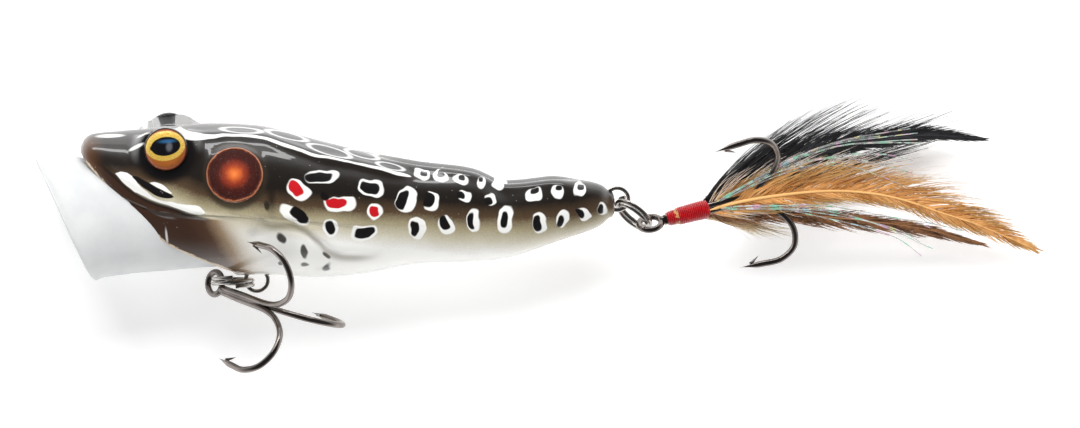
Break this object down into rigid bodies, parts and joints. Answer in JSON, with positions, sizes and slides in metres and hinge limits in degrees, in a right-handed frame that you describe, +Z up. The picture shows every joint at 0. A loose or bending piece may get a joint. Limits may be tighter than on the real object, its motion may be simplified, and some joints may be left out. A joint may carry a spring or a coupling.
{
  "type": "topwater popper",
  "caption": "Frog-shaped topwater popper fishing lure with a soft flared mouth cup, treble hooks on split rings and a dressed tail.",
  "frame": {"origin": "middle of the whole lure in plan, on the ground plane that it lies on", "axes": "+X from the nose to the tail, +Y roughly towards the back, +Z up from the ground, out of the left side"},
  "size_m": [0.1346, 0.0373, 0.0264],
  "materials": {
    "painted_body": "painted under a glossy clear coat",
    "soft_cup": "matte, slightly translucent silicone",
    "stainless_wire": "bright polished",
    "black_nickel": "dark polished plating",
    "eye_foil": "printed metallic foil",
    "eye_lens": "clear domed",
    "lead": "dull",
    "steel_ball": "polished",
    "red_thread": "varnished thread",
    "black_fibre": "matte fibre",
    "tan_fibre": "soft fibre",
    "brown_fibre": "soft fibre",
    "tinsel": "iridescent film"
  },
  "bodies": {
    "lure": {"body_shell_left": "painted_body", "body_shell_right": "painted_body", "mouth_cup": "soft_cup", "line_tie_wire": "stainless_wire", "belly_hanger_wire": "stainless_wire", "tail_hanger_wire": "stainless_wire", "eye_foil_left": "eye_foil", "eye_lens_left": "eye_lens", "eye_foil_right": "eye_foil", "eye_lens_right": "eye_lens", "belly_ballast": "lead"},
    "belly_ring": {"belly_split_ring": "stainless_wire"},
    "belly_treble": {"belly_treble_hook": "black_nickel"},
    "tail_ring": {"tail_split_ring": "stainless_wire"},
    "tail_treble": {"tail_treble_hook": "black_nickel", "thread_wrap": "red_thread", "black_hair": "black_fibre", "black_feather": "black_fibre", "brown_feather": "brown_fibre", "tan_feather": "tan_fibre", "flash_tinsel_upper": "tinsel", "flash_tinsel_lower": "tinsel", "under_fibres": "tan_fibre"},
    "rattle_front": {"rattle_ball_front": "steel_ball"},
    "rattle_rear": {"rattle_ball_rear": "steel_ball"}
  },
  "joints": [
    {"name": "belly_ring_swing", "type": "hinge", "parent": "lure", "child": "belly_ring", "pos_m": [-0.0391, -0.00658, 0.0099], "axis": [-0.033, 0.9993, 0.0156], "range_deg": [-30, 30]},
    {"name": "belly_treble_swing", "type": "hinge", "parent": "belly_ring", "child": "belly_treble", "pos_m": [-0.0436, -0.00673, 0.00951], "axis": [0.2164, 0.0228, -0.976], "range_deg": [-3, 60]},
    {"name": "tail_ring_swing", "type": "hinge", "parent": "lure", "child": "tail_ring", "pos_m": [0.0102, 0.00436, 0.01144], "axis": [0, 0.1564, -0.9877], "range_deg": [-60, 10]},
    {"name": "tail_treble_swing", "type": "hinge", "parent": "tail_ring", "child": "tail_treble", "pos_m": [0.01451, 0.00111, 0.0123], "axis": [0.091, -0.4938, -0.8648], "range_deg": [-60, 60]},
    {"name": "rattle_front_roll", "type": "slide", "parent": "lure", "child": "rattle_front", "axis": [1, 0, 0], "range_m": [0, 0.0024]},
    {"name": "rattle_rear_roll", "type": "slide", "parent": "lure", "child": "rattle_rear", "axis": [1, 0, 0], "range_m": [0, 0.0024]}
  ]
}
